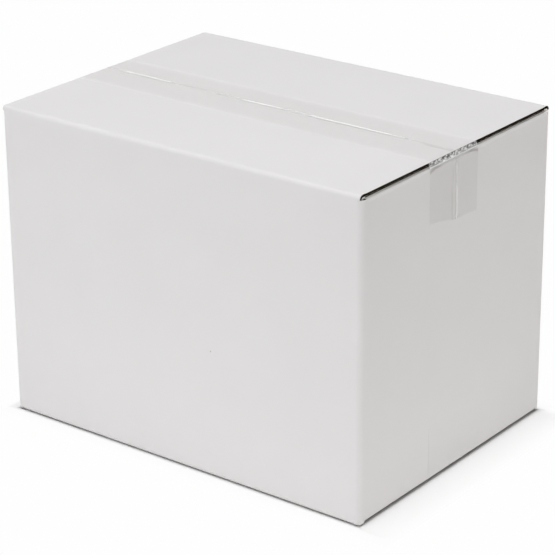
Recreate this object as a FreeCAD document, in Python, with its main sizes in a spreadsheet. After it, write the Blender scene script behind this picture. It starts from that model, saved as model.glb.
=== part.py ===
"""Regular slotted carton of white B-flute board, taped shut over both seams.

The carton is one folded blank: four walls, a glue tab and eight flaps.  The two
long walls carry the outer flaps, which meet at the seam; the two end walls carry
the inner flaps, which lie beneath them.  A strip of clear tape closes each seam
and turns down onto both ends.  +X runs along the seams, +Z is up, and the origin
is at the middle of the base.  All sizes are in millimetres.
"""

import FreeCAD, Part
import math
import os

import Sketcher

doc = FreeCAD.newDocument("carton")

# ---------------------------------------------------------------- driving sizes

SIZES = [
    ("inside_length", 268, "clear length between the end walls"),
    ("inside_width", 194, "clear width between the long walls"),
    ("inside_height", 195, "clear height between the inner flaps"),
    ("board", 2.8, "thickness of the corrugated board"),
    ("liner", 0.25, "each facing paper of the board"),
    ("medium", 0.25, "fluted paper between the liners"),
    ("medium_depth", 1.35, "how far under the outer face a cut edge shows the medium"),
    ("flute_depth", 2.2, "how deep a cut edge lets one see between the liners"),
    ("fold_radius", 0.2, "inside of a flap fold"),
    ("corner_radius", 1.0, "inside of a vertical corner"),
    ("layer_gap", 0.3, "slack between an outer flap and the inner flaps"),
    ("seam_gap", 0.8, "opening between the two outer flaps"),
    ("seam_offset", 1.5, "how far the seam sits in front of the middle"),
    ("top_recess", 1.4, "top outer flaps, short of the end walls' faces"),
    ("bottom_recess", 4.0, "bottom outer flaps, short of the end walls' faces"),
    ("slot_reach", 4.8, "slots' reach along the end walls, from the long walls' faces"),
    ("tongue_gap", 0.8, "height of the corners' tongues above the base"),
    ("joint_recess", 1.4, "back wall's cut edge, short of the left end's face"),
    ("tab_width", 32, "glue tab inside the back wall"),
    ("tab_taper", 12, "how much shorter the glue tab's free edge is, at each end"),
    ("tape_width", 50, "both strips of tape"),
    ("tape_film", 0.08, "film and adhesive together"),
    ("tape_offset", 4, "how far the strips sit in front of the middle"),
    ("top_drop", 43, "top strip's legs on the end walls"),
    ("bottom_rise", 37, "bottom strip's legs on the end walls"),
]

sheet = doc.addObject("Spreadsheet::Sheet", "Sizes")
for row, (alias, number, meaning) in enumerate(SIZES, start=1):
    sheet.set(f"A{row}", alias)
    sheet.set(f"B{row}", str(number))
    sheet.set(f"C{row}", meaning)
    sheet.setAlias(f"B{row}", alias)
doc.recompute()

# Sizes worked out from the driving ones, as expressions in the sheet's aliases.
HALF_LENGTH = "(Sizes.inside_length / 2 + Sizes.board)"
HALF_WIDTH = "(Sizes.inside_width / 2 + Sizes.board)"
LAYER = "(Sizes.board + Sizes.layer_gap)"
HEIGHT = f"(Sizes.inside_height + 2 * Sizes.board + 2 * {LAYER})"
FOLD_OUTER = "(Sizes.fold_radius + Sizes.board)"
CORNER_OUTER = "(Sizes.corner_radius + Sizes.board)"
INNER_SCORE = f"({LAYER} + {FOLD_OUTER})"
LINED = "(Sizes.board - Sizes.liner)"
FRONT_TIP = "(0 - Sizes.seam_offset - Sizes.seam_gap / 2)"
BACK_TIP = "(Sizes.seam_gap / 2 - Sizes.seam_offset)"
SEAM = "(0 - Sizes.seam_offset)"
FLAP_LENGTH = f"({HALF_WIDTH} - Sizes.seam_gap / 2)"
JOINT_EDGE = f"(Sizes.joint_recess - {HALF_LENGTH})"
TAB_ROOT = f"({HALF_WIDTH} - Sizes.board - {CORNER_OUTER} - Sizes.corner_radius / 2)"


def number(expression):
    """The plain number that an expression in the sheet's aliases comes to."""
    return float(sheet.evalExpression(expression))


def level(side, depth):
    """Height of what lies depth inside the carton's top (side 1) or base (side -1)."""
    return f"({HEIGHT} - {depth})" if side > 0 else f"({depth})"


def signed(side, expression):
    return f"({side} * {expression})"


# -------------------------------------------------------------- sketches, pads


def new_body(name):
    body = doc.addObject("PartDesign::Body", name)
    body.Label = name
    return body


def new_sketch(body, name, plane, offset="0"):
    """A sketch on one of the body's origin planes, moved along its normal by offset."""
    sketch = body.newObject("Sketcher::SketchObject", name)
    planes = {feature.Role: feature for feature in body.Origin.OriginFeatures}
    sketch.AttachmentSupport = [(planes[plane], "")]
    sketch.MapMode = "FlatFace"
    sketch.setExpression("AttachmentOffset.Base.z", offset)
    return sketch


def tie(sketch, kind, geometry, end, expression):
    """Sets a point's DistanceX or DistanceY from the origin, or an arc's Radius."""
    if kind == "Radius":
        constraint = Sketcher.Constraint(kind, geometry, number(expression))
    else:
        constraint = Sketcher.Constraint(kind, -1, 1, geometry, end, number(expression))
    index = sketch.addConstraint(constraint)
    sketch.setExpression(f"Constraints[{index}]", expression)


def outline(sketch, corners):
    """A closed loop of level and upright lines; a corner is (across, up) or
    (across, up, radius), each an expression."""
    spots = [FreeCAD.Vector(number(c[0]), number(c[1]), 0) for c in corners]
    radii = [number(c[2]) if len(c) > 2 else 0 for c in corners]
    count = len(corners)
    heading = [(spots[(i + 1) % count] - spots[i]).normalize() for i in range(count)]
    first = sketch.GeometryCount
    for i in range(count):
        start = spots[i] + heading[i] * radii[i]
        end = spots[(i + 1) % count] - heading[i] * radii[(i + 1) % count]
        sketch.addGeometry(Part.LineSegment(start, end), False)
        upright = abs(heading[i].y) > 0.5
        sketch.addConstraint(Sketcher.Constraint("Vertical" if upright else "Horizontal", first + i))
        axis = 0 if upright else 1
        tie(sketch, "DistanceX" if upright else "DistanceY", first + i, 1, corners[i][axis])
    for i in range(count):
        line_in, line_out = first + (i - 1) % count, first + i
        if not radii[i]:
            sketch.addConstraint(Sketcher.Constraint("Coincident", line_in, 2, line_out, 1))
            continue
        came, goes = heading[i - 1], heading[i]
        centre = spots[i] - came * radii[i] + goes * radii[i]
        left_turn = came.cross(goes).z > 0
        begin = -goes if left_turn else came
        angle = math.atan2(begin.y, begin.x)
        circle = Part.Circle(centre, FreeCAD.Vector(0, 0, 1), radii[i])
        arc = sketch.addGeometry(Part.ArcOfCircle(circle, angle, angle + math.pi / 2), False)
        arc_in, arc_out = (1, 2) if left_turn else (2, 1)
        sketch.addConstraint(Sketcher.Constraint("Tangent", line_in, 2, arc, arc_in))
        sketch.addConstraint(Sketcher.Constraint("Tangent", line_out, 1, arc, arc_out))
        tie(sketch, "Radius", arc, None, corners[i][2])


def polygon(sketch, corners):
    """A closed loop of straight lines through corners, each (across, up)."""
    spots = [FreeCAD.Vector(number(x), number(y), 0) for x, y in corners]
    count = len(corners)
    for i in range(count):
        sketch.addGeometry(Part.LineSegment(spots[i], spots[(i + 1) % count]), False)
    for i in range(count):
        sketch.addConstraint(Sketcher.Constraint("Coincident", (i - 1) % count, 2, i, 1))
        tie(sketch, "DistanceX", i, 1, corners[i][0])
        tie(sketch, "DistanceY", i, 1, corners[i][1])


def fold_section(sketch, out, side, face, top, tip, near="0", far="Sizes.board"):
    """Section of a flap and its fold, between the depths near and far under the
    board's outer face.  The wall's face is at out * face, the flap's at level top
    (counted from the top or the base, as side says), and the flap ends at tip."""
    outer, inner = f"({FOLD_OUTER} - {near})", f"({FOLD_OUTER} - {far})"
    across = signed(out, f"({face} - {FOLD_OUTER})")
    up = level(side, f"({top} + {FOLD_OUTER})")
    centre = FreeCAD.Vector(number(across), number(up), 0)
    sideways, upward = FreeCAD.Vector(out, 0, 0), FreeCAD.Vector(0, side, 0)
    start = {(1, 1): 0, (-1, 1): 90, (-1, -1): 180, (1, -1): 270}[(out, side)]
    angle = math.radians(start)
    root, crown = (1, 2) if out * side > 0 else (2, 1)
    end_x = FreeCAD.Vector(number(tip) - centre.x, 0, 0)

    def arc(radius):
        circle = Part.Circle(centre, FreeCAD.Vector(0, 0, 1), radius)
        return sketch.addGeometry(Part.ArcOfCircle(circle, angle, angle + math.pi / 2), False)

    def line(begin, end):
        return sketch.addGeometry(Part.LineSegment(begin, end), False)

    r_outer, r_inner = number(outer), number(inner)
    arc_outer = arc(r_outer)
    face_line = line(centre + upward * r_outer, centre + upward * r_outer + end_x)
    tip_line = line(centre + upward * r_outer + end_x, centre + upward * r_inner + end_x)
    back_line = line(centre + upward * r_inner + end_x, centre + upward * r_inner)
    arc_inner = arc(r_inner)
    root_line = line(centre + sideways * r_inner, centre + sideways * r_outer)
    for constraint in (
        ("Tangent", arc_outer, crown, face_line, 1),
        ("Coincident", face_line, 2, tip_line, 1),
        ("Coincident", tip_line, 2, back_line, 1),
        ("Tangent", back_line, 2, arc_inner, crown),
        ("Coincident", arc_inner, root, root_line, 1),
        ("Coincident", root_line, 2, arc_outer, root),
        ("Coincident", arc_inner, 3, arc_outer, 3),
        ("Horizontal", face_line),
        ("Vertical", tip_line),
        ("Horizontal", back_line),
        ("Horizontal", root_line),
        ("Horizontal", arc_outer, 3, arc_outer, root),
    ):
        sketch.addConstraint(Sketcher.Constraint(*constraint))
    tie(sketch, "DistanceX", arc_outer, 3, across)
    tie(sketch, "DistanceY", arc_outer, 3, up)
    tie(sketch, "Radius", arc_outer, None, outer)
    tie(sketch, "Radius", arc_inner, None, inner)
    tie(sketch, "DistanceX", tip_line, 1, tip)


def pad(body, sketch, length, both_ways=False):
    feature = body.newObject("PartDesign::Pad", f"{sketch.Name}_pad")
    feature.Profile = sketch
    feature.Midplane = both_ways
    feature.setExpression("Length", length)
    sketch.Visibility = False
    return feature


def pocket(body, sketch, depth, along_normal):
    """Cuts against the sketch's normal, or along it."""
    feature = body.newObject("PartDesign::Pocket", f"{sketch.Name}_cut")
    feature.Profile = sketch
    feature.Reversed = along_normal
    feature.setExpression("Length", depth)
    sketch.Visibility = False
    return feature


# ------------------------------------------------------------------ the carton

TOP, BASE = 1, -1
LEVELS = {"top": TOP, "base": BASE}
RECESS = {TOP: "Sizes.top_recess", BASE: "Sizes.bottom_recess"}
CHANNELS = [
    ("Sizes.liner", "Sizes.medium_depth"),
    ("(Sizes.medium_depth + Sizes.medium)", LINED),
]


def wall_corner(x_side, y_side, depth, radius):
    """Corner of a wall loop, depth inside the outer faces, with its radius."""
    return (
        signed(x_side, f"({HALF_LENGTH} - {depth})"),
        signed(y_side, f"({HALF_WIDTH} - {depth})"),
        radius,
    )


OUTER = ("0", CORNER_OUTER)
INNER = ("Sizes.board", "Sizes.corner_radius")
LEFT_FACE, LEFT_BACK = signed(-1, HALF_LENGTH), f"(Sizes.board - {HALF_LENGTH})"
RIGHT_FACE, RIGHT_BACK = HALF_LENGTH, f"({HALF_LENGTH} - Sizes.board)"
FRONT_SLOT = f"(Sizes.slot_reach - {HALF_WIDTH})"
BACK_SLOT = f"({HALF_WIDTH} - Sizes.slot_reach)"
BACK_INSIDE = f"({HALF_WIDTH} - Sizes.board)"


def add_walls(body):
    """All four walls between the inner flaps' scores; open at the glued corner."""
    sketch = new_sketch(body, "walls", "XY_Plane", INNER_SCORE)
    outline(sketch, [
        (JOINT_EDGE, HALF_WIDTH),
        (JOINT_EDGE, BACK_INSIDE),
        wall_corner(1, 1, *INNER),
        wall_corner(1, -1, *INNER),
        wall_corner(-1, -1, *INNER),
        (LEFT_BACK, TAB_ROOT),
        (LEFT_FACE, TAB_ROOT),
        wall_corner(-1, -1, *OUTER),
        wall_corner(1, -1, *OUTER),
        wall_corner(1, 1, *OUTER),
    ])
    pad(body, sketch, f"{HEIGHT} - 2 * {INNER_SCORE}")


def add_glue_tab(body):
    """The left end's tab, bent behind the back wall and glued to it, with its
    free edge shorter than its root."""
    tab_end = f"({LEFT_BACK} + Sizes.tab_width)"
    tab_inside = f"({BACK_INSIDE} - Sizes.board)"
    taper_start = f"({JOINT_EDGE} + Sizes.corner_radius)"
    sketch = new_sketch(body, "glue_tab", "XY_Plane", INNER_SCORE)
    outline(sketch, [
        (LEFT_FACE, TAB_ROOT),
        (LEFT_BACK, TAB_ROOT),
        (LEFT_BACK, tab_inside, "Sizes.corner_radius"),
        (tab_end, tab_inside),
        (tab_end, BACK_INSIDE),
        (LEFT_FACE, BACK_INSIDE, CORNER_OUTER),
    ])
    pad(body, sketch, f"{HEIGHT} - 2 * {INNER_SCORE}")
    for name, side in (("tab_top", TOP), ("tab_base", BASE)):
        taper = new_sketch(body, name, "XZ_Plane", signed(-1, BACK_INSIDE))
        polygon(taper, [
            (taper_start, level(side, INNER_SCORE)),
            (tab_end, level(side, INNER_SCORE)),
            (tab_end, level(side, f"({INNER_SCORE} + Sizes.tab_taper)")),
        ])
        pocket(body, taper, "Sizes.board", True)


def add_long_walls_end(body, name, side):
    """The long walls from the inner flaps' scores on to their own, with the strips
    beside the slots that turn the corners."""
    start = level(side, INNER_SCORE if side > 0 else FOLD_OUTER)
    sketch = new_sketch(body, f"{name}_long_walls", "XY_Plane", start)
    outline(sketch, [
        (LEFT_FACE, FRONT_SLOT),
        wall_corner(-1, -1, *OUTER),
        wall_corner(1, -1, *OUTER),
        (RIGHT_FACE, FRONT_SLOT),
        (RIGHT_BACK, FRONT_SLOT),
        wall_corner(1, -1, *INNER),
        wall_corner(-1, -1, *INNER),
        (LEFT_BACK, FRONT_SLOT),
    ])
    outline(sketch, [
        (JOINT_EDGE, HALF_WIDTH),
        (JOINT_EDGE, BACK_INSIDE),
        wall_corner(1, 1, *INNER),
        (RIGHT_BACK, BACK_SLOT),
        (RIGHT_FACE, BACK_SLOT),
        wall_corner(1, 1, *OUTER),
    ])
    pad(body, sketch, LAYER)


def add_base_tongues(body):
    """At the base the slots stop short of the scores, so the corners reach lower."""
    sketch = new_sketch(body, "base_tongues", "XY_Plane", "Sizes.tongue_gap")
    for x_side, y_side in ((-1, -1), (1, -1), (1, 1)):
        beside = signed(x_side, f"({HALF_LENGTH} - Sizes.bottom_recess)")
        slot_edge = signed(y_side, f"({HALF_WIDTH} - Sizes.slot_reach)")
        face_y, inside_y = signed(y_side, HALF_WIDTH), signed(y_side, BACK_INSIDE)
        face_x, inside_x = signed(x_side, RIGHT_FACE), signed(x_side, RIGHT_BACK)
        outline(sketch, [
            (beside, face_y),
            wall_corner(x_side, y_side, *OUTER),
            (face_x, slot_edge),
            (inside_x, slot_edge),
            wall_corner(x_side, y_side, *INNER),
            (beside, inside_y),
        ])
    pad(body, sketch, f"{FOLD_OUTER} - Sizes.tongue_gap")


def add_outer_flaps(body, name, side):
    """Front and back flaps, which end alike."""
    right = f"({HALF_LENGTH} - {RECESS[side]})"
    left = signed(-1, right)
    flaps = {"front": (-1, FRONT_TIP), "back": (1, BACK_TIP)}
    for wall, (out, tip) in flaps.items():
        sketch = new_sketch(body, f"{name}_{wall}_flap", "YZ_Plane", left)
        fold_section(sketch, out, side, HALF_WIDTH, "0", tip)
        pad(body, sketch, f"{right} - {left}")
    for wall, (out, tip) in flaps.items():
        for end, place, inward in (("left", left, True), ("right", right, False)):
            sketch = new_sketch(body, f"{name}_{wall}_{end}_flute", "YZ_Plane", place)
            for near, far in CHANNELS:
                fold_section(sketch, out, side, HALF_WIDTH, "0", SEAM, near, far)
            pocket(body, sketch, "Sizes.flute_depth", inward)


def add_inner_flaps(body, name, side):
    """Left and right flaps, one board and the slack beneath the outer ones."""
    for wall, out, back_edge in (("left", -1, TAB_ROOT), ("right", 1, BACK_SLOT)):
        sketch = new_sketch(body, f"{name}_{wall}_flap", "XZ_Plane", signed(-1, back_edge))
        tip = signed(out, f"({HALF_LENGTH} - {FLAP_LENGTH})")
        fold_section(sketch, out, side, HALF_LENGTH, LAYER, tip)
        pad(body, sketch, f"{back_edge} - {FRONT_SLOT}")


def open_joint_edge(body):
    """Flute seen between the liners along the back wall's upright cut edge."""
    sketch = new_sketch(body, "joint_flute", "YZ_Plane", JOINT_EDGE)
    for near, far in CHANNELS:
        outline(sketch, [
            (f"({HALF_WIDTH} - {far})", level(BASE, FOLD_OUTER)),
            (f"({HALF_WIDTH} - {near})", level(BASE, FOLD_OUTER)),
            (f"({HALF_WIDTH} - {near})", level(TOP, FOLD_OUTER)),
            (f"({HALF_WIDTH} - {far})", level(TOP, FOLD_OUTER)),
        ])
    pocket(body, sketch, "Sizes.flute_depth", True)


def make_carton():
    body = new_body("carton")
    add_walls(body)
    add_glue_tab(body)
    for name, side in LEVELS.items():
        add_long_walls_end(body, name, side)
        add_inner_flaps(body, name, side)
    add_base_tongues(body)
    open_joint_edge(body)
    for name, side in LEVELS.items():
        add_outer_flaps(body, name, side)
    body.setExpression("Placement.Base.z", "Sizes.tape_film")
    return body


# ------------------------------------------------------------------- the tapes


def make_tape(name, side, leg):
    """A strip along the seam, over the flaps' ends and down both end walls."""
    body = new_body(name)
    sketch = new_sketch(body, f"{name}_strip", "XZ_Plane")
    face = {"in": level(side, "0"), "out": level(side, "(0 - Sizes.tape_film)")}
    end_face = {"in": HALF_LENGTH, "out": f"({HALF_LENGTH} + Sizes.tape_film)"}
    edge = f"({HALF_LENGTH} - {RECESS[side]})"
    landing = level(side, f"({LAYER} + {FOLD_OUTER} / 2)")
    leg_end = level(side, leg)

    def run(skin):
        half = [(edge, face[skin]), (end_face[skin], landing), (end_face[skin], leg_end)]
        return [(signed(-1, x), z) for x, z in reversed(half)] + half

    polygon(sketch, run("out") + run("in")[::-1])
    pad(body, sketch, "Sizes.tape_width", both_ways=True)
    body.setExpression("Placement.Base.y", "0 - Sizes.tape_offset")
    body.setExpression("Placement.Base.z", "Sizes.tape_film")
    return body


# ------------------------------------------------------------ build and export

PARTS = [
    make_carton(),
    make_tape("top_tape", TOP, "Sizes.top_drop"),
    make_tape("bottom_tape", BASE, "Sizes.bottom_rise"),
]
doc.recompute()

for thing in doc.Objects:
    failed = {"Invalid", "Error"} & set(thing.State)
    if failed:
        raise RuntimeError(f"{thing.Label}: {sorted(failed)}")

os.makedirs("parts", exist_ok=True)
for body in PARTS:
    shape = body.Shape
    if shape.isNull() or not shape.isValid() or len(shape.Solids) != 1:
        raise RuntimeError(f"{body.Label}: not one valid solid")
    shape.exportStep(f"parts/{body.Label}.step")
    box = shape.BoundBox
    print(f"{body.Label}: {shape.Volume:.0f} mm3, {len(shape.Faces)} faces, "
          f"{box.XLength:.2f} x {box.YLength:.2f} x {box.ZLength:.2f}")
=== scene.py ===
"""Looks of a taped shipping box: coated white board, clear packing tape, a pale studio."""
import math

import bmesh
import bpy
from mathutils import Matrix, Vector, noise


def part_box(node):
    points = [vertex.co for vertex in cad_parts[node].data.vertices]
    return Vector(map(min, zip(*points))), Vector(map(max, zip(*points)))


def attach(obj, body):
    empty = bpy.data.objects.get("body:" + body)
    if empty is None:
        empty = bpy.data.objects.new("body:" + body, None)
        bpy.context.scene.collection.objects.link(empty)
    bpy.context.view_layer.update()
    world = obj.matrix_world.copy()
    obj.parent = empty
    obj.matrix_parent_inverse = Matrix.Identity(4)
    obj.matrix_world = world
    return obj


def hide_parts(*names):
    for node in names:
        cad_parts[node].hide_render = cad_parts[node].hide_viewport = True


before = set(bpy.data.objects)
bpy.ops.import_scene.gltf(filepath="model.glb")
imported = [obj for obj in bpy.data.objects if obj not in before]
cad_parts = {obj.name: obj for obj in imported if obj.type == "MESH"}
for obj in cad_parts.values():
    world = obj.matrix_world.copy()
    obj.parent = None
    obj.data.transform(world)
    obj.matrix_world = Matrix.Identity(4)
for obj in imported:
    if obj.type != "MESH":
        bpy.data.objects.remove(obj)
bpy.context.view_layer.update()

MM = 0.001
BOARD_LOW, BOARD_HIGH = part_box("carton")
LENGTH, WIDTH = BOARD_HIGH.x - BOARD_LOW.x, BOARD_HIGH.y - BOARD_LOW.y
HALF_LENGTH, HALF_WIDTH = LENGTH / 2, WIDTH / 2
BASE, TOP = BOARD_LOW.z, BOARD_HIGH.z
HEIGHT = TOP - BASE


# ---------------------------------------------------------------- small tools


def linear(hex_colour):
    """An sRGB hex colour as linear red, green, blue and alpha."""
    parts = [int(hex_colour[i:i + 2], 16) / 255 for i in (1, 3, 5)]
    return [p / 12.92 if p <= 0.04045 else ((p + 0.055) / 1.055) ** 2.4 for p in parts] + [1.0]


def add(tree, kind, attributes=None, values=None, links=None):
    """Adds a node: attributes are its own settings, values go on sockets, links feed them."""
    made = tree.nodes.new(kind)
    for name, value in (attributes or {}).items():
        setattr(made, name, value)
    for name, value in (values or {}).items():
        made.inputs[name].default_value = value
    for name, source in (links or {}).items():
        tree.links.new(source, made.inputs[name])
    return made


def new_material(name):
    """An empty node material, its tree and its output node."""
    material = bpy.data.materials.new(name)
    material.use_nodes = True
    tree = material.node_tree
    tree.nodes.clear()
    return material, tree, add(tree, "ShaderNodeOutputMaterial")


def placed(name, data):
    """A new object in the scene around a mesh, a lamp or a lens."""
    made = bpy.data.objects.new(name, data)
    bpy.context.scene.collection.objects.link(made)
    return made


def between(value, low, high):
    """0 below low, 1 above high and a smooth step between them."""
    share = min(1.0, max(0.0, (value - low) / (high - low)))
    return share * share * (3 - 2 * share)


def along(table, place):
    """Straight-line value at place in a table of (place, value)."""
    for (x0, y0), (x1, y1) in zip(table, table[1:]):
        if place <= x1:
            return y0 + (y1 - y0) * max(0.0, place - x0) / (x1 - x0)
    return table[-1][1]


def hump(distance, width):
    """A smooth bump: 1 in its middle and 0 about two widths away."""
    return math.exp(-(distance / width) ** 2)


def steps(start, end, size):
    """Evenly spaced places from start up to, not including, end."""
    count = max(1, round(abs(end - start) / size))
    return [start + (end - start) * i / count for i in range(count)]


# ------------------------------------------------------------------ materials


def coated_board():
    """White clay-coated liner: matt, with a faint fibre mottle and one speck of dirt."""
    material, tree, output = new_material("clay_coated_liner")
    place = add(tree, "ShaderNodeTexCoord").outputs["Object"]
    cloud = add(tree, "ShaderNodeTexNoise", values={"Scale": 1 / (45 * MM), "Detail": 3.0},
                links={"Vector": place})
    # Real fibres are much finer; at 1.2 mm they just show.
    fibre = add(tree, "ShaderNodeTexNoise", values={"Scale": 1 / (1.2 * MM), "Detail": 2.0},
                links={"Vector": place})
    tone = add(tree, "ShaderNodeMix", {"data_type": "RGBA"},
               {"A": linear("#E2E0E0"), "B": linear("#E6E4E4")},
               {"Factor": cloud.outputs["Fac"]})
    # The speck is at most 1 mm wide, a little right of the front's middle and below it.
    speck = Vector(((0.597 - 0.5) * LENGTH, -HALF_WIDTH, TOP - 0.595 * HEIGHT))
    away = add(tree, "ShaderNodeVectorMath", {"operation": "DISTANCE"}, {1: speck}, {0: place})
    clean = add(tree, "ShaderNodeMapRange",
                values={"From Min": 0.3 * MM, "From Max": 0.5 * MM, "To Min": 0.3},
                links={"Value": away.outputs["Value"]})
    tone = add(tree, "ShaderNodeMix", {"data_type": "RGBA"},
               {"A": linear("#6A6460")}, {"Factor": clean.outputs[0], "B": tone.outputs["Result"]})
    bump = add(tree, "ShaderNodeBump", values={"Strength": 0.08, "Distance": 0.05 * MM},
               links={"Height": fibre.outputs["Fac"]})
    surface = add(tree, "ShaderNodeBsdfPrincipled",
                  values={"Roughness": 0.68, "IOR": 1.5, "Specular IOR Level": 0.35},
                  links={"Base Color": tone.outputs["Result"], "Normal": bump.outputs["Normal"]})
    tree.links.new(surface.outputs["BSDF"], output.inputs["Surface"])
    return material


def clear_film():
    """Clear polypropylene packing film: glossy, and milky where it has lifted in a ridge; the milky
    white is partly painted highlight.
    """
    material, tree, output = new_material("clear_tape_film")
    milky_sheen = add(tree, "ShaderNodeAttribute", {"attribute_name": "milky_sheen"}).outputs["Fac"]
    facing = add(tree, "ShaderNodeLayerWeight", values={"Blend": 0.5}).outputs["Facing"]
    # As clear plastic does, it mirrors 4% straight on and all at a glancing angle.
    steep = add(tree, "ShaderNodeMath", {"operation": "POWER"}, {1: 5.0}, {0: facing})
    mirror = add(tree, "ShaderNodeMath", {"operation": "MULTIPLY_ADD"}, {1: 0.96, 2: 0.04},
                 {0: steep.outputs[0]})
    through = add(tree, "ShaderNodeBsdfTransparent", values={"Color": linear("#FFFFFF")})
    gloss = add(tree, "ShaderNodeBsdfGlossy",
                values={"Color": linear("#FFFFFF"), "Roughness": 0.14})
    # Partly painted highlight: white stands in for the film's bright reflections.
    haze = add(tree, "ShaderNodeBsdfDiffuse", values={"Color": linear("#F8F8F8")})
    body = add(tree, "ShaderNodeMixShader",
               links={"Fac": milky_sheen, 1: through.outputs[0], 2: haze.outputs[0]})
    surface = add(tree, "ShaderNodeMixShader",
                  links={"Fac": mirror.outputs[0], 1: body.outputs[0], 2: gloss.outputs[0]})
    tree.links.new(surface.outputs[0], output.inputs["Surface"])
    return material


def adhesive_tint_and_painted_shade():
    """The film's sticky side: where it is pressed down it wets the board and darkens it a little; its
    darker marks at creases, pockets and edges are painted shade.
    """
    material, tree, output = new_material("clear_tape_adhesive_tint_and_painted_shade")
    # This darkening is partly the film's own tint and partly painted shade.
    pressed = add(tree, "ShaderNodeAttribute", {"attribute_name": "pressed"}).outputs["Fac"]
    tint = add(tree, "ShaderNodeMix", {"data_type": "RGBA"},
               {"A": linear("#FFFFFF"), "B": linear("#E1DFDD")}, {"Factor": pressed})
    through = add(tree, "ShaderNodeBsdfTransparent", links={"Color": tint.outputs["Result"]})
    tree.links.new(through.outputs[0], output.inputs["Surface"])
    return material


def fluting_painted_dark():
    """Brown recycled fluting and inner liner: rough, dark where the flutes shade it, and its colour
    painted far darker than brown paper, as painted shade.
    """
    material, tree, output = new_material("recycled_fluting_painted_dark")
    place = add(tree, "ShaderNodeTexCoord").outputs["Object"]
    # Real fibres are much finer; at 0.9 mm they just show.
    fibre = add(tree, "ShaderNodeTexNoise", values={"Scale": 1 / (0.9 * MM), "Detail": 3.0},
                links={"Vector": place})
    # Both browns are near black: painted shade of the flutes, far darker than the paper itself.
    tone = add(tree, "ShaderNodeMix", {"data_type": "RGBA"},
               {"A": linear("#2C241C"), "B": linear("#43382C")},
               {"Factor": fibre.outputs["Fac"]})
    surface = add(tree, "ShaderNodeBsdfPrincipled",
                  values={"Roughness": 0.9, "Specular IOR Level": 0.2},
                  links={"Base Color": tone.outputs["Result"]})
    tree.links.new(surface.outputs["BSDF"], output.inputs["Surface"])
    return material


def cut_paper():
    """The liner's cut edge: bare white fibre, brighter than the coated face."""
    material, tree, output = new_material("cut_liner_fibre")
    surface = add(tree, "ShaderNodeBsdfPrincipled",
                  values={"Base Color": linear("#F4F1EC"), "Roughness": 0.9,
                          "Specular IOR Level": 0.2})
    tree.links.new(surface.outputs["BSDF"], output.inputs["Surface"])
    return material


def fluting_edge():
    """The fluting's own cut edge: brown fibre with torn pale flecks that catch the light."""
    material, tree, output = new_material("cut_fluting_fibre")
    place = add(tree, "ShaderNodeTexCoord").outputs["Object"]
    # The flecks are drawn at 2.4 mm, coarser than real torn fibre, so that they show.
    torn = add(tree, "ShaderNodeTexNoise", values={"Scale": 1 / (2.4 * MM), "Detail": 1.0},
               links={"Vector": place})
    fleck = add(tree, "ShaderNodeMapRange", values={"From Min": 0.44, "From Max": 0.56},
                links={"Value": torn.outputs["Fac"]})
    tone = add(tree, "ShaderNodeMix", {"data_type": "RGBA"},
               {"A": linear("#54483C"), "B": linear("#F2E8DA")}, {"Factor": fleck.outputs[0]})
    surface = add(tree, "ShaderNodeBsdfPrincipled",
                  values={"Roughness": 0.9, "Specular IOR Level": 0.2},
                  links={"Base Color": tone.outputs["Result"]})
    tree.links.new(surface.outputs["BSDF"], output.inputs["Surface"])
    return material


# ---------------------------------------------------------------------- board

# The board, how deep under its outer face the web of fluting lies, and how far in from a
# cut edge the channels beside the web reach.
BOARD, LINER = 2.8 * MM, 0.25 * MM
MEDIUM_FRONT, MEDIUM_BACK = 1.35 * MM, 1.6 * MM
FLUTE_DEPTH = 2.2 * MM
# Radius of the folds, and how deep under the outer flaps' face the inner ones' face lies.
FOLD, INNER_FACE = 3.0 * MM, 3.1 * MM
# Above (1) and below (-1): how far the long flaps' cut ends stay short of the end face.
RECESS = {1: 1.4 * MM, -1: 4.0 * MM}
# From the long walls' faces inwards: where a score has pressed the board, and a slot's side.
SCORE_ZONE, SLOT_REACH = 5.5 * MM, 4.8 * MM
# The seams' place in front of the middle, and how wide the solids leave them.
SEAM, SEAM_GAP = -1.5 * MM, 0.8 * MM
# Wear: how far the end walls sink, how high above the floor the corners end, over what
# height a corner's top and foot are worn, and how much each foot is (x side, y side).
END_SINK, CORNER_FOOT = 2.0 * MM, 0.8 * MM
TOP_ROUND, CRUSH_HEIGHT = 1.2 * MM, 3.6 * MM
CRUSHED = {(1, 1): 0.45, (1, -1): 0.1, (-1, 1): 0.2, (-1, -1): 0.15}
# A worn corner gives way towards an upright line this far in from both of its faces.
CORNER_CORE = 3.8 * MM
# Panels are cut this closely, so that they can bend.
PANEL = 9 * MM
# The board's finishes, in the order of its materials; the fluting's is painted dark, as painted
# shade.
COATED, FLUTING_PAINTED_DARK, CUT_LINER = range(3)


def beneath(spot):
    """Side, depth under the outer flap's or wall's face, and the way out of the board
    there, for a place in the long walls' strip of board; folds are followed round."""
    side = 1 if spot.z > (TOP + BASE) / 2 else -1
    out = math.copysign(1, spot.y)
    down = TOP - spot.z if side > 0 else spot.z - BASE
    inward = HALF_WIDTH - abs(spot.y)
    if down < FOLD and inward < FOLD:
        arm = Vector((0, out * (FOLD - inward), side * (FOLD - down)))
        return side, FOLD - arm.length, arm.normalized()
    if down < FOLD:
        return side, down, Vector((0, 0, side))
    return side, inward, Vector((0, out, 0))


def in_score(y):
    """True where the long flaps' board is pressed by the score at their root."""
    return HALF_WIDTH - abs(y) < SCORE_ZONE - 0.1 * MM


def side_of_sheet(seed, max_turn):
    """Faces of one side of the folded sheet, spread from seed over its soft bends."""
    found, rim = {seed}, [seed]
    while rim:
        face = rim.pop()
        for edge in face.edges:
            for other in edge.link_faces:
                if other not in found and face.normal.angle(other.normal) < max_turn:
                    found.add(other)
                    rim.append(other)
    return found


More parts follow.
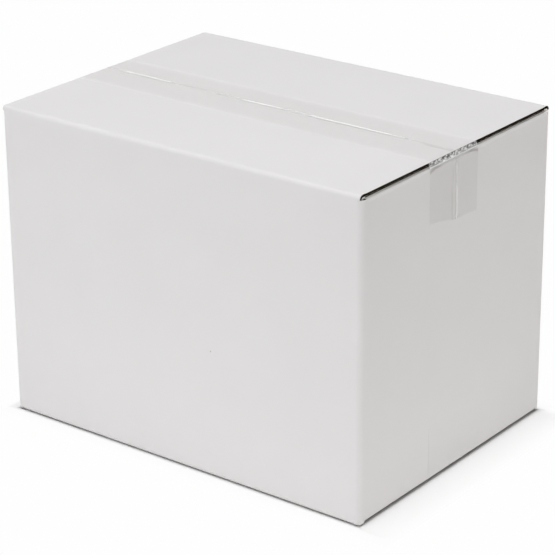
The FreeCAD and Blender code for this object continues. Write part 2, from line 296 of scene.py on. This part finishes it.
def open_flutes(bm):
    """Clears the two channels of the outer flaps' cut ends into one for the fluting to
    lie in, and presses their lower half shut where the board bends at the score."""
    for vert in bm.verts:
        side, depth, out = beneath(vert.co)
        edge = HALF_LENGTH - RECESS[side]
        off_face = min(TOP - vert.co.z, vert.co.z - BASE)
        if not edge - FLUTE_DEPTH - 0.05 * MM < abs(vert.co.x) < edge + 0.05 * MM:
            continue
        if off_face > FOLD + 0.01 * MM or depth > BOARD + 0.01 * MM:
            continue
        pressed = in_score(vert.co.y)
        at_floor = abs(vert.co.x) < edge - FLUTE_DEPTH + 0.05 * MM
        if at_floor and 0.1 * MM < depth < BOARD - 0.1 * MM:
            inward = 0.1 * MM if pressed and depth > MEDIUM_BACK - 0.05 * MM else 8 * MM
            vert.co.x = math.copysign(edge - inward, vert.co.x)
        # The web's two faces go down against the back liner, or halfway where pressed.
        for level, open_level, pressed_level in ((MEDIUM_FRONT, 2.42 * MM, 1.70 * MM),
                                                 (MEDIUM_BACK, 2.48 * MM, 1.76 * MM)):
            if abs(depth - level) < 0.03 * MM:
                vert.co -= out * ((pressed_level if pressed else open_level) - depth)


def cut_by_planes(bm, axis, places):
    """Cuts the mesh at each place along an axis, so that its panels can bend."""
    normal = Vector((axis == 0, axis == 1, axis == 2))
    for place in places:
        geometry = bm.verts[:] + bm.edges[:] + bm.faces[:]
        bmesh.ops.bisect_plane(bm, geom=geometry, dist=1e-6, plane_co=normal * place,
                               plane_no=normal)


def seam_at(x, side):
    """Where the long flaps meet: the top pair is cut a little askew."""
    return SEAM - (3.5 * MM * (x / LENGTH + 0.5) if side > 0 else 0)


def close_seams(bm):
    """Brings the long flaps' tips together until they nearly touch."""
    for vert in bm.verts:
        side = 1 if vert.co.z > (TOP + BASE) / 2 else -1
        off_face = min(TOP - vert.co.z, vert.co.z - BASE)
        if off_face < BOARD + 0.1 * MM and abs(vert.co.y - SEAM) < SEAM_GAP / 2 + 0.02 * MM:
            way = math.copysign(0.08 * MM, vert.co.y - SEAM)
            vert.co.y = seam_at(vert.co.x, side) + way


def crush_end(vert, past, height, amount):
    """Gives the end of an upright corner way inwards, most where it is roundest."""
    core = Vector((math.copysign(HALF_LENGTH - CORNER_CORE, vert.co.x),
                   math.copysign(HALF_WIDTH - CORNER_CORE, vert.co.y), vert.co.z))
    arm = vert.co - core
    if past <= 0 or past > height * 1.01 or arm.length < 0.5 * MM:
        return
    way = arm.normalized()
    lost = 1 - math.sqrt(max(0.0, 1 - (past / height) ** 2))
    vert.co -= arm * amount * lost * 2 * abs(way.x * way.y)


def settle_ends(bm):
    """Lets the end walls sink beside the base flaps until they almost reach the floor,
    and wears the ends of the four upright corners to meet them."""
    fold_start = INNER_FACE + FOLD
    for vert in bm.verts:
        reach, inward = HALF_LENGTH - abs(vert.co.x), HALF_WIDTH - abs(vert.co.y)
        above, below = vert.co.z - BASE, TOP - vert.co.z
        fold = fold_start - math.sqrt(FOLD ** 2 - max(0.0, FOLD - reach) ** 2)
        by_slot = inward < SLOT_REACH + 0.05 * MM
        # The wall sinks, and the corner's edge beside it is squeezed to meet it.
        if inward > SLOT_REACH - 0.05 * MM and above > fold - 0.05 * MM:
            share = 1 - between(reach, 2.9 * MM, 3.9 * MM)
            vert.co.z -= END_SINK * share * (1 - between(above, 8 * MM, 40 * MM))
        elif by_slot and reach < 1.2 * MM and above < fold_start:
            left = (above - CORNER_FOOT) / (fold_start - CORNER_FOOT)
            shift = 0.87 * MM * (1 - left) - END_SINK * left
            vert.co.z += shift * between(inward, MM, SLOT_REACH)
        # The corner's foot rises a little along the long wall.
        if above < CORNER_FOOT + 0.05 * MM and inward < 0.9 * MM and reach < 4.05 * MM:
            vert.co.z += 0.5 * MM * between(reach, MM, 4 * MM)
        # Both ends of the corner are worn round.
        if by_slot:
            loose = 1 - between(reach, 0.5 * MM, 1.35 * MM)
            crush_end(vert, TOP_ROUND + FOLD - below, TOP_ROUND, 0.1 * loose)
        if by_slot and reach < 3.95 * MM:
            corner = (math.copysign(1, vert.co.x), math.copysign(1, vert.co.y))
            crush_end(vert, CRUSH_HEIGHT + CORNER_FOOT - above, CRUSH_HEIGHT, CRUSHED[corner])


def sharpen_fold(bm):
    """Creases the front top fold harder towards its left end, where it looks square."""
    for vert in bm.verts:
        arm_y, arm_z = FOLD - HALF_WIDTH - vert.co.y, vert.co.z - TOP + FOLD
        reach = math.hypot(arm_y, arm_z)
        if min(arm_y, arm_z) < 0.01 * MM:
            continue
        # The fourth powers give a bend between a round one and a square one.
        square = ((arm_y / reach) ** 4 + (arm_z / reach) ** 4) ** -0.25
        gain = (square - 1) * (1 - between(vert.co.x + HALF_LENGTH, 2 * MM, 40 * MM))
        vert.co.y -= arm_y * gain
        vert.co.z += arm_z * gain


def cut_for_bending(bm):
    """Cuts the panels every few millimetres, and closer at the ends of the corners."""
    for axis, half, middle in ((0, HALF_LENGTH, 0), (1, HALF_WIDTH, 0),
                               (2, HEIGHT / 2, (TOP + BASE) / 2)):
        count = int(half // PANEL)
        cut_by_planes(bm, axis, [middle + PANEL * (i + 0.5) for i in range(-count, count)])
    for share in (0.12, 0.3, 0.55, 1.0):
        cut_by_planes(bm, 2, [TOP - FOLD - TOP_ROUND * share,
                              BASE + CORNER_FOOT + CRUSH_HEIGHT * share])


def tell_sides(bm):
    """Gives each face its finish: coated outside, brown painted dark as shade inside, or a liner's
    cut edge.
    """
    front = min((f for f in bm.faces if f.normal.y < -0.99), key=lambda f: (
        f.calc_center_median() - Vector((0, -HALF_WIDTH, HEIGHT / 2))).length)
    outside = side_of_sheet(front, math.radians(60))
    for face in bm.faces:
        spot = face.calc_center_median()
        face.material_index = COATED if face in outside else FLUTING_PAINTED_DARK
        side, depth = beneath(spot)[:2]
        # Cut ends of the outer flaps, and the glued corner's as far down as it is level with
        # the top flaps': where a score has pressed them, white shows deeper.
        at_end = abs(abs(spot.x) - (HALF_LENGTH - RECESS[side])) < 0.15 * MM
        if face not in outside and at_end and abs(face.normal.x) > 0.9 and depth < BOARD:
            white = (depth < LINER + 0.05 * MM or depth > BOARD - LINER - 0.1 * MM
                     or (in_score(spot.y) and depth > MEDIUM_BACK))
            face.material_index = CUT_LINER if white else FLUTING_PAINTED_DARK
        # The slots' cut sides, and the corners' cut tops: brown in front, painted dark as the shade
        # of their open flutes, white behind.
        at_slot = abs(abs(spot.y) - (HALF_WIDTH - SLOT_REACH)) < 0.1 * MM
        if at_slot and abs(face.normal.y) > 0.9 and abs(spot.x) > HALF_LENGTH - FOLD:
            face.material_index = CUT_LINER
        at_corner = min(HALF_LENGTH - abs(spot.x), HALF_WIDTH - abs(spot.y)) < 3 * MM
        if at_corner and abs(spot.z - TOP + FOLD) < 0.1 * MM and face.normal.z > 0.9:
            face.material_index = FLUTING_PAINTED_DARK if spot.y < 0 else CUT_LINER


def carton_skin(name):
    """The folded board with its two sides, cut edges and open flutes told apart."""
    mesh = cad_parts["carton"].data.copy()
    mesh.name = name
    mesh.materials.clear()
    for made in (coated_board(), fluting_painted_dark(), cut_paper()):
        mesh.materials.append(made)
    bm = bmesh.new()
    bm.from_mesh(mesh)
    bmesh.ops.remove_doubles(bm, verts=bm.verts, dist=1e-6)
    bmesh.ops.dissolve_limit(bm, angle_limit=math.radians(0.5), verts=bm.verts, edges=bm.edges)
    for out in (-1, 1):
        cut_by_planes(bm, 1, [out * (HALF_WIDTH - SCORE_ZONE),
                              out * (HALF_WIDTH - SCORE_ZONE + 0.2 * MM)])
    open_flutes(bm)
    close_seams(bm)
    cut_for_bending(bm)
    settle_ends(bm)
    bm.normal_update()
    tell_sides(bm)
    sharpen_fold(bm)
    bm.normal_update()
    bm.to_mesh(mesh)
    bm.free()
    piece = placed(name, mesh)
    mesh.set_sharp_from_angle(angle=math.radians(35))
    weighted = piece.modifiers.new("flat_panels", "WEIGHTED_NORMAL")
    weighted.keep_sharp = True
    return piece


# -------------------------------------------------------------------- fluting

# B flute: length of a wave, half its height, how deep under the outer face its middle
# lies, half the thickness of its paper, and how far in from the cut it is drawn.
FLUTE_PITCH, FLUTE_SWING, FLUTE_MIDDLE = 6.4 * MM, 0.94 * MM, 1.36 * MM
HALF_PAPER, FLUTE_RUN = 0.1 * MM, 7.5 * MM


def flap_line(side, out, end):
    """Places along a long flap's outer face, from its tip to where its score begins."""
    tip = seam_at(end * HALF_LENGTH, side) + out * 0.1 * MM
    face = TOP if side > 0 else BASE
    score = out * (HALF_WIDTH - SCORE_ZONE)
    return [Vector((0, y, face)) for y in steps(tip, score, 1.2 * MM) + [score]]


def fluting_sheet(verts, faces, places, side, end, edge, phase):
    """A strip of fluting running in from a cut edge: real waves between the liners,
    so that the knife leaves them at a height that drifts along the cut."""
    first, runs = len(verts), steps(0.0, FLUTE_RUN, 0.3 * MM)
    for skin in (-1, 1):
        for place in places:
            fray = noise.noise(place * 900)  # changes about every millimetre
            for run in runs:
                angle = phase(place) + 2 * math.pi * run / FLUTE_PITCH
                slope = FLUTE_SWING * 2 * math.pi / FLUTE_PITCH * math.cos(angle)
                lean = Vector((-slope * end, 0, side)).normalized()
                rise = FLUTE_SWING * math.sin(angle) + 0.07 * MM * fray * (run < 0.9 * MM)
                spot = place + Vector((end * (edge - run), 0, side * (rise - FLUTE_MIDDLE)))
                verts.append(spot + lean * (skin * HALF_PAPER))
    rows, count = len(places), len(runs)
    size = rows * count
    for i in range(rows - 1):
        for j in range(count - 1):
            a = first + i * count + j
            for b in (a, a + size):
                faces.append((b, b + 1, b + count + 1, b + count))
        for j in (0, count - 1):
            a = first + i * count + j
            faces.append((a, a + count, a + count + size, a + size))
    for j in range(count - 1):
        for i in (0, rows - 1):
            a = first + i * count + j
            faces.append((a, a + 1, a + 1 + size, a + size))


def fluting_piece(name, side, end):
    """The fluting at one end of both top or both base flaps."""
    verts, faces = [], []

    def phase(place):
        drift = 0.35 + 0.3 * between(place.y, -HALF_WIDTH, HALF_WIDTH)
        wobble = noise.noise(Vector((0, place.y / (40 * MM), end + 2 * side)))
        return math.pi + drift + 0.25 * wobble

    for out in (-1, 1):
        fluting_sheet(verts, faces, flap_line(side, out, end), side, end,
                      HALF_LENGTH - RECESS[side], phase)
    mesh = bpy.data.meshes.new(name)
    mesh.from_pydata(verts, [], faces)
    bm = bmesh.new()
    bm.from_mesh(mesh)
    bmesh.ops.recalc_face_normals(bm, faces=bm.faces)
    bm.to_mesh(mesh)
    bm.free()
    for made in (fluting_painted_dark(), fluting_edge()):
        mesh.materials.append(made)
    for face in mesh.polygons:
        face.use_smooth = True
        at_cut = abs(abs(face.center.x) - HALF_LENGTH + RECESS[side]) < 0.05 * MM
        face.material_index = 1 if at_cut else 0
    mesh.set_sharp_from_angle(angle=math.radians(40))
    return placed(name, mesh)


# ----------------------------------------------------------------------- tape

# The film's two skins stand this far off the board, so that its faces never meet it.
FILM_UNDER, FILM_OVER = 0.02 * MM, 0.08 * MM


def strip_line(recess, layer, fold, leg):
    """Stations of a strip over one half of the box, from its middle out: each is x, depth
    below the face and which way the film faces, from 90 degrees on top to 0 on the end."""
    edge = Vector((HALF_LENGTH - recess, 0.0))
    centre = Vector((HALF_LENGTH - fold, layer + fold))
    reach = edge - centre
    swing = math.acos(fold / reach.length)
    landing = math.atan2(-reach.y, reach.x) - swing
    nearly = edge.x - 0.15 * MM
    points = [(x, 0.0, 90.0) for x in steps(0.0, nearly, 1.5 * MM) + [nearly]]
    touch = centre + Vector((math.cos(landing), -math.sin(landing))) * fold
    lean = math.degrees(landing)
    for i in range(8):
        share = i / 8
        spot = edge.lerp(touch, share)
        points.append((spot.x, spot.y, lean if i else (90 + lean) / 2))
    for i in range(4):
        angle = landing * (1 - i / 4)
        spot = centre + Vector((math.cos(angle), -math.sin(angle))) * fold
        points.append((spot.x, spot.y, math.degrees(angle)))
    points += [(HALF_LENGTH, depth, 0.0) for depth in steps(layer + fold, leg, 1.2 * MM)]
    points.append((HALF_LENGTH, leg, 0.0))
    return points


def tape_mesh(name, side, recess, leg, low, high, cut, relief):
    """A strip of film along the seam and over both ends; relief gives its height, how milky it
    is, partly painted highlight, and how dark, its tint plus painted shade, and cut how much
    longer its ends are."""
    half = strip_line(recess, INNER_FACE, FOLD, leg)
    line = [(-x, d, 180 - a) for x, d, a in reversed(half[1:])] + half
    # Across the strip, its stations are closest at its edges and over the seam.
    across = []
    for start, end, size in ((low, low + 1.2 * MM, 0.4 * MM), (low + 1.2 * MM, -11 * MM, 0.6 * MM),
                             (-11 * MM, 4 * MM, 0.4 * MM), (4 * MM, high - 1.2 * MM, 0.6 * MM),
                             (high - 1.2 * MM, high, 0.4 * MM)):
        across += steps(start, end, size)
    across.append(high)
    face = TOP if side > 0 else BASE
    bend = INNER_FACE + FOLD
    # Per point: milkiness, partly painted highlight, and darkness, the film's tint plus painted
    # shade.
    verts, milky_sheens, presses = [], [], []
    for skin in (FILM_UNDER, FILM_OVER):
        for x, depth, lean in line:
            turn = math.radians(lean)
            out = Vector((math.cos(turn), 0, side * math.sin(turn)))
            for y in across:
                height, milky_sheen, pressed = relief(x, y, depth, low, high)
                fall = max(0.0, depth - bend) / (leg - bend)
                spot = Vector((x, y - tape_skew(x, side), face - side * (depth + fall * cut(y))))
                verts.append(spot + out * (skin + height))
                milky_sheens.append(milky_sheen)
                presses.append(pressed)
    rows, width = len(line), len(across)
    faces = []
    for skin in (0, 1):
        first = skin * rows * width
        for i in range(rows - 1):
            for j in range(width - 1):
                a = first + i * width + j
                quad = (a, a + 1, a + width + 1, a + width)
                faces.append(quad if (skin == 1) == (side < 0) else quad[::-1])
    rim = ([i * width for i in range(rows)]
           + [(rows - 1) * width + j for j in range(1, width)]
           + [i * width + width - 1 for i in range(rows - 2, -1, -1)]
           + [j for j in range(width - 2, 0, -1)])
    count = rows * width
    for a, b in zip(rim, rim[1:] + rim[:1]):
        quad = (a, b, b + count, a + count)
        faces.append(quad if side > 0 else quad[::-1])
    mesh = bpy.data.meshes.new(name)
    mesh.from_pydata(verts, [], faces)
    mesh.attributes.new("milky_sheen", "FLOAT", "POINT").data.foreach_set("value", milky_sheens)
    mesh.attributes.new("pressed", "FLOAT", "POINT").data.foreach_set("value", presses)
    mesh.polygons.foreach_set("use_smooth", [True] * len(mesh.polygons))
    mesh.set_sharp_from_angle(angle=math.radians(60))
    skin_quads = (rows - 1) * (width - 1)
    mesh.polygons.foreach_set("material_index", [1] * skin_quads + [0] * skin_quads
                              + [1] * (len(mesh.polygons) - 2 * skin_quads))
    mesh.update()
    return placed(name, mesh)


def tape_skew(x, side):
    """The top strip was laid a little askew; the bottom one runs straight."""
    return (0.7 + 2.4 * (x / LENGTH + 0.5)) * MM if side > 0 else 0.0


# Along the top seam, by share of the length: how high the film stands in its ridge (which also sets
# how milky it is there), how dark a painted crease shade lies in front of the ridge and how dark
# behind it.
RIDGE = [(0.0, 0.1), (0.05, 0.3), (0.07, 0.9), (0.19, 0.9), (0.22, 0.0), (0.30, 0.1),
         (0.35, 0.35), (0.41, 0.4), (0.44, 1.0), (0.51, 1.0), (0.55, 0.4), (0.60, 0.35),
         (0.62, 1.0), (0.79, 0.95), (0.86, 0.6), (0.88, 0.0), (1.0, 0.0)]
CREASE_SHADE_FRONT = [(0.0, 0.0), (0.12, 0.1), (0.17, 0.15), (0.2, 0.0), (0.61, 0.0), (0.64, 0.3),
                (0.77, 0.25), (0.8, 0.0), (0.91, 0.0), (0.93, 0.7), (0.985, 0.7), (1.0, 0.3)]
CREASE_SHADE_BACK = [(0.0, 0.0), (0.1, 0.0), (0.14, 0.15), (0.2, 0.15), (0.25, 0.25), (0.4, 0.3),
               (0.46, 0.45), (0.51, 0.3), (0.56, 0.1), (0.7, 0.1), (0.76, 0.2), (0.86, 0.0),
               (1.0, 0.0)]


def seam_relief(x, off_seam, rim):
    """The film over the seam: a broken ridge, milky as partly painted highlight, with creases on each
    side of it drawn only as painted shade.
    """
    share = x / LENGTH + 0.5
    crest = along(RIDGE, share) * hump(off_seam, 1.1 * MM)
    # The creases have no shape; they only darken the film, as painted shade.
    crease_shade = along(CREASE_SHADE_FRONT, share) * hump(off_seam + 1.9 * MM, 0.6 * MM)
    crease_shade += along(CREASE_SHADE_BACK, share) * hump(off_seam - 1.6 * MM, 0.6 * MM)
    pressed = 0.25 * between(rim, -2 * MM, 7 * MM) * (1 - 0.8 * min(1.0, crest))
    return 0.22 * MM * crest, min(1.0, 1.25 * crest), min(1.0, pressed + 0.8 * crease_shade)


def bridge_relief(x, y, depth):
    """The film over the step at the flaps' ends: it hangs free there, spotted with milky
    white over the cut edge and even below it, partly painted reflection, and much clearer
    at the left end."""
    spots = noise.noise(Vector((y / (1.2 * MM), depth / (0.6 * MM), x / LENGTH)))
    spots += 0.5 * noise.noise(Vector((y / (4 * MM), depth / MM, 9.0)))
    milky = 0.45 + 1.1 * spots if depth < BOARD else 0.9
    milky *= 0.2 if x < 0 else 1
    return 0.02 * MM * spots, min(1.0, max(0.08, milky)), 0.1


def leg_relief(y, depth, off_seam, rim):
    """The film down the end wall: a milky streak in line with the seam, partly painted highlight,
    creases in front of it as painted shade, and film painted darker just below the bend, as painted
    shade."""
    low_part = between(depth, 16 * MM, 26 * MM)
    crest = 0.4 + 0.55 * low_part + 0.55 * hump(depth - 10 * MM, 4.5 * MM)
    crest *= hump(off_seam, 0.8 * MM) * between(depth, 4 * MM, 8 * MM)
    crease_shade = (0.1 + 0.25 * low_part) * hump(off_seam + 4.8 * MM, 0.7 * MM)
    crease_shade += 0.3 * hump(off_seam + 3.2 * MM, 0.8 * MM) * hump(depth - 13 * MM, 3.5 * MM)
    ragged = noise.noise(Vector((y / (2.5 * MM), 2.0, depth / (1.5 * MM))))
    # Below the bend the film is darkened most at the strip's corners and in spots near the seam:
    # painted shade of the pockets it bridges.
    line = 4.5 * MM + 1.3 * MM * max(0.0, 1 - rim / (6 * MM))
    corner = 1.3 * (1 - between(rim, 6 * MM, 15 * MM)) * hump(depth - line, 0.55 * MM)
    corner += max(0.0, ragged) * hump(off_seam - MM, 4 * MM) * hump(depth - 5.2 * MM, 1.1 * MM)
    end = 0.7 * hump(depth - 40 * MM, 1.2 * MM) * hump(off_seam, 1.5 * MM)
    pressed = 0.185 + corner + crease_shade
    return 0.2 * MM * crest, min(1.0, max(crest, end)), min(1.0, pressed)


def top_relief(x, y, depth, low, high):
    """The top strip: along the seam, over the flaps' ends and down the end walls."""
    rim = min(y - low, high - y)
    flat = depth < 0.3 * MM
    path = (x / (30 * MM), 0.3, 0) if flat else (depth / (12 * MM), 4.1, 0)
    wander = noise.noise(Vector(path))
    off_seam = y - (seam_at(x, 1) + tape_skew(x, 1) + 0.35 * MM * wander + 0.035 * depth)
    if flat:
        return seam_relief(x, off_seam, rim)
    if depth < 3.8 * MM:
        return bridge_relief(x, y, depth)
    return leg_relief(y, depth, off_seam, rim)


def top_cut(y):
    """The top strip's ends are torn off aslant and a little bowed."""
    return 5.9 * MM * (y + 4 * MM) / (50 * MM) + 1.6 * MM * hump(y + 2 * MM, 10 * MM)


def base_relief(x, y, depth, low, high):
    """The bottom strip lies so close that only its edges show; down the end walls its front edge is
    painted darker, as painted shade.
    """
    rim = min(y - low, high - y)
    edge = rim < 0.7 * MM and depth > 6 * MM
    return 0.0, 0.0, 0.22 if edge and y < 0 else 0.02


def base_cut(y):
    """The bottom strip's ends are cut square."""
    return 0.0


# Each strip: its name, the node it stands for, above or below, how far it bridges in from
# the end face, how far down its ends reach, how they are cut, and its relief.
TAPES = [
    ("top_tape_film", "top_tape", 1, RECESS[1], 40.7 * MM, top_cut, top_relief),
    ("bottom_tape_film", "bottom_tape", -1, RECESS[-1], 37 * MM, base_cut, base_relief),
]


# --------------------------------------------------------------------- studio

AMBIENT = 0.172
FLOOR_REACH = 4.0


def seen_directly(tree):
    """1 where the studio is seen by the eye, in gloss or through film, 0 where it lights."""
    paths = add(tree, "ShaderNodeLightPath").outputs
    seen = paths["Is Camera Ray"]
    for kind in ("Is Glossy Ray", "Is Transmission Ray"):
        seen = add(tree, "ShaderNodeMath", {"operation": "MAXIMUM"},
                   links={0: seen, 1: paths[kind]}).outputs[0]
    return seen


def studio_floor():
    """Plain pale floor, white to the eye away from the box and keeping its shadow."""
    material, tree, output = new_material("pale_studio_floor")
    place = add(tree, "ShaderNodeTexCoord").outputs["Object"]
    split = add(tree, "ShaderNodeSeparateXYZ", links={"Vector": place}).outputs
    # Along each axis, by distance past the box's face, the floor's whiteness rises softly
    # up to most at the knee, then evenly to full white. Under the box its paint is darker: painted
    # shadow.
    shares, clear_of_painted_shadow = [], []
    for axis, half, start, knee, most, full in (
            ("X", HALF_LENGTH, 1.6 * MM, 3.8 * MM, 0.62, 26 * MM),
            ("Y", HALF_WIDTH, 0.6 * MM, 2.6 * MM, 0.92, 12 * MM)):
        size = add(tree, "ShaderNodeMath", {"operation": "ABSOLUTE"}, links={0: split[axis]})
        clear_of_painted_shadow.append(add(tree, "ShaderNodeMapRange", {"interpolation_type": "SMOOTHSTEP"},
                              {"From Min": half - 1.5 * MM, "From Max": half + 1 * MM},
                              {"Value": size.outputs[0]}).outputs[0])
        near = add(tree, "ShaderNodeMapRange", {"interpolation_type": "SMOOTHSTEP"},
                   {"From Min": half - start, "From Max": half + knee, "To Max": most},
                   {"Value": size.outputs[0]})
        far = add(tree, "ShaderNodeMapRange",
                  values={"From Min": half + knee, "From Max": half + full, "To Max": 1 - most},
                  links={"Value": size.outputs[0]})
        both = add(tree, "ShaderNodeMath", {"operation": "ADD"},
                   links={0: near.outputs[0], 1: far.outputs[0]})
        shares.append(both.outputs[0])
    # It is also white within 8 mm of the left wall, and past the back right corner.
    minus_x = add(tree, "ShaderNodeMath", {"operation": "MULTIPLY"}, {1: -1.0}, {0: split["X"]})
    spans = ((minus_x.outputs[0], HALF_LENGTH + 0.5 * MM, HALF_LENGTH + 8 * MM),
             (split["Y"], HALF_WIDTH - 14 * MM, HALF_WIDTH + 5 * MM),
             (split["X"], HALF_LENGTH + 1 * MM, HALF_LENGTH + 6 * MM))
    left, back, right = [add(tree, "ShaderNodeMapRange", {"interpolation_type": "SMOOTHSTEP"},
                             {"From Min": low, "From Max": high}, {"Value": source}).outputs[0]
                         for source, low, high in spans]
    corner = add(tree, "ShaderNodeMath", {"operation": "MINIMUM"}, links={0: back, 1: right})
    white = add(tree, "ShaderNodeMath", {"operation": "MAXIMUM"},
                links={0: shares[0], 1: shares[1]})
    for other in (left, corner.outputs[0]):
        white = add(tree, "ShaderNodeMath", {"operation": "MAXIMUM"},
                    links={0: white.outputs[0], 1: other})
    share = add(tree, "ShaderNodeMath", {"operation": "MULTIPLY"},
                links={0: seen_directly(tree), 1: white.outputs[0]})
    # Under and just around the box the paint is grey: a painted contact shadow.
    bare = add(tree, "ShaderNodeMath", {"operation": "MAXIMUM"},
               links={0: clear_of_painted_shadow[0], 1: clear_of_painted_shadow[1]})
    tone = add(tree, "ShaderNodeMix", {"data_type": "RGBA"},
               {"A": linear("#BCBCBC"), "B": linear("#F4F4F4")}, {"Factor": bare.outputs[0]})
    paint = add(tree, "ShaderNodeBsdfDiffuse", links={"Color": tone.outputs["Result"]})
    glow = add(tree, "ShaderNodeEmission", values={"Color": linear("#FEFEFE"), "Strength": 1.0})
    both = add(tree, "ShaderNodeMixShader",
               links={"Fac": share.outputs[0], 1: paint.outputs[0], 2: glow.outputs[0]})
    tree.links.new(both.outputs[0], output.inputs["Surface"])
    mesh = bpy.data.meshes.new("studio_floor")
    mesh.from_pydata([(x * FLOOR_REACH, y * FLOOR_REACH, 0)
                      for x, y in ((-1, -1), (1, -1), (1, 1), (-1, 1))], [], [(0, 1, 2, 3)])
    mesh.materials.append(material)
    floor = placed("studio_floor", mesh)


def studio_world():
    """Even pale surroundings: white to the eye and in gloss, softer as a light."""
    world = bpy.data.worlds.new("pale_studio")
    bpy.context.scene.world = world
    world.use_nodes = True
    tree = world.node_tree
    tree.nodes.clear()
    soft = add(tree, "ShaderNodeBackground", values={"Color": linear("#FFFFFF"), "Strength": AMBIENT})
    white = add(tree, "ShaderNodeBackground", values={"Color": linear("#FEFEFE"), "Strength": 1.0})
    both = add(tree, "ShaderNodeMixShader",
               links={"Fac": seen_directly(tree), 1: soft.outputs[0], 2: white.outputs[0]})
    add(tree, "ShaderNodeOutputWorld", links={"Surface": both.outputs[0]})


SOFTBOXES = [
    # name, direction from the box's middle, distance, width, height, watts, tint
    ("overhead_softbox", (0.0, 0.0, 1.0), 1.8, 1.2, 1.2, 11.6, "#FBFCFF"),
    ("overhead_spot_box", (-0.563, 0.17, 0.80), 1.7, 0.26, 0.26, 1.8, "#FEFEFF"),
    ("front_high_softbox", (0.0, -0.5, 0.87), 1.8, 1.0, 1.0, 7.8, "#FFFFFF"),
    ("right_high_softbox", (0.55, -0.1, 0.83), 1.8, 1.0, 1.0, 5.95, "#FFFEFA"),
    ("front_left_softbox", (-0.75, -0.65, 0.15), 1.8, 0.9, 0.9, 4.25, "#FFFFFF"),
    ("front_low_softbox", (-0.1, -0.98, 0.12), 1.8, 0.9, 0.9, 3.3, "#FFFFFF"),
    ("front_floor_strip", (-0.05, -0.998, -0.05), 0.60, 0.8, 0.14, 0.25, "#FFFFFF"),
    ("right_floor_strip", (0.998, 0.05, -0.05), 0.62, 0.8, 0.14, 0.375, "#FFFEFA"),
    ("front_foot_strip", (0.05, -0.42, -0.073), 0.428, 0.5, 0.05, 0.045, "#FFFFFF"),
    ("right_foot_strip", (0.46, 0.02, -0.073), 0.466, 0.4, 0.05, 0.075, "#FFFEFA"),
    ("front_skirting_strip", (0.02, -0.16, -0.0914), 0.185, 0.34, 0.012, 0.003, "#FFFFFF"),
    ("right_skirting_strip", (0.197, 0.0, -0.0914), 0.217, 0.26, 0.012, 0.0045, "#FFFEFA"),
]


def studio_lights():
    """Plain soft lights, each aimed at the middle of the box."""
    middle = Vector((0, 0, HEIGHT / 2))
    for name, direction, distance, wide, tall, watts, tint in SOFTBOXES:
        lamp = bpy.data.lights.new(name, "AREA")
        lamp.shape = "RECTANGLE"
        lamp.size, lamp.size_y = wide, tall
        lamp.energy = watts
        lamp.color = linear(tint)[:3]
        holder = placed(name, lamp)
        way = Vector(direction).normalized()
        holder.location = middle + way * distance
        holder.rotation_euler = way.to_track_quat("Z", "Y").to_euler()
        holder.visible_camera = False


# Angles in degrees and the lens in millimetres; the rest are shares of the box's length.
CAMERA = {"azimuth": 37.66, "elevation": 22.40, "roll": -0.49, "lens": 151.17,
          "distance": 5.390, "right": -0.0021, "up": 0.0380, "box_height": 0.7553}


def studio_camera():
    """A long lens from the front right, a little above."""
    azimuth, elevation, roll = (math.radians(CAMERA[k]) for k in ("azimuth", "elevation", "roll"))
    back = Vector((math.sin(azimuth) * math.cos(elevation),
                   -math.cos(azimuth) * math.cos(elevation), math.sin(elevation)))
    right = Vector((math.cos(azimuth), math.sin(azimuth), 0))
    up = back.cross(right)
    turned = right * math.cos(roll) + up * math.sin(roll)
    raised = up * math.cos(roll) - right * math.sin(roll)
    middle = Vector((0, 0, CAMERA["box_height"] * LENGTH / 2))
    place = middle + (back * CAMERA["distance"] - turned * CAMERA["right"]
                      - raised * CAMERA["up"]) * LENGTH
    lens = bpy.data.cameras.new("studio_camera")
    lens.sensor_width = 36.0
    lens.lens = CAMERA["lens"]
    holder = placed("studio_camera", lens)
    holder.matrix_world = Matrix((turned, raised, back)).transposed().to_4x4()
    holder.matrix_world.translation = place
    bpy.context.scene.camera = holder


# ------------------------------------------------------------------- dressing

studio_camera()
studio_world()
studio_lights()
studio_floor()
bpy.context.scene.view_settings.view_transform = "Standard"

carton = carton_skin("folded_board")
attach(carton, "root")
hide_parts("carton")
for level, side in (("top", 1), ("base", -1)):
    for end_name, end in (("left", -1), ("right", 1)):
        piece = fluting_piece(f"{level}_{end_name}_fluting", side, end)
        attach(piece, "root")
film, adhesive = clear_film(), adhesive_tint_and_painted_shade()
for name, node_name, side, recess, leg, cut, relief in TAPES:
    low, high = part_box(node_name)
    piece = tape_mesh(name, side, recess, leg, low.y, high.y, cut, relief)
    piece.data.materials.append(film)
    piece.data.materials.append(adhesive)
    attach(piece, "root")
    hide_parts(node_name)
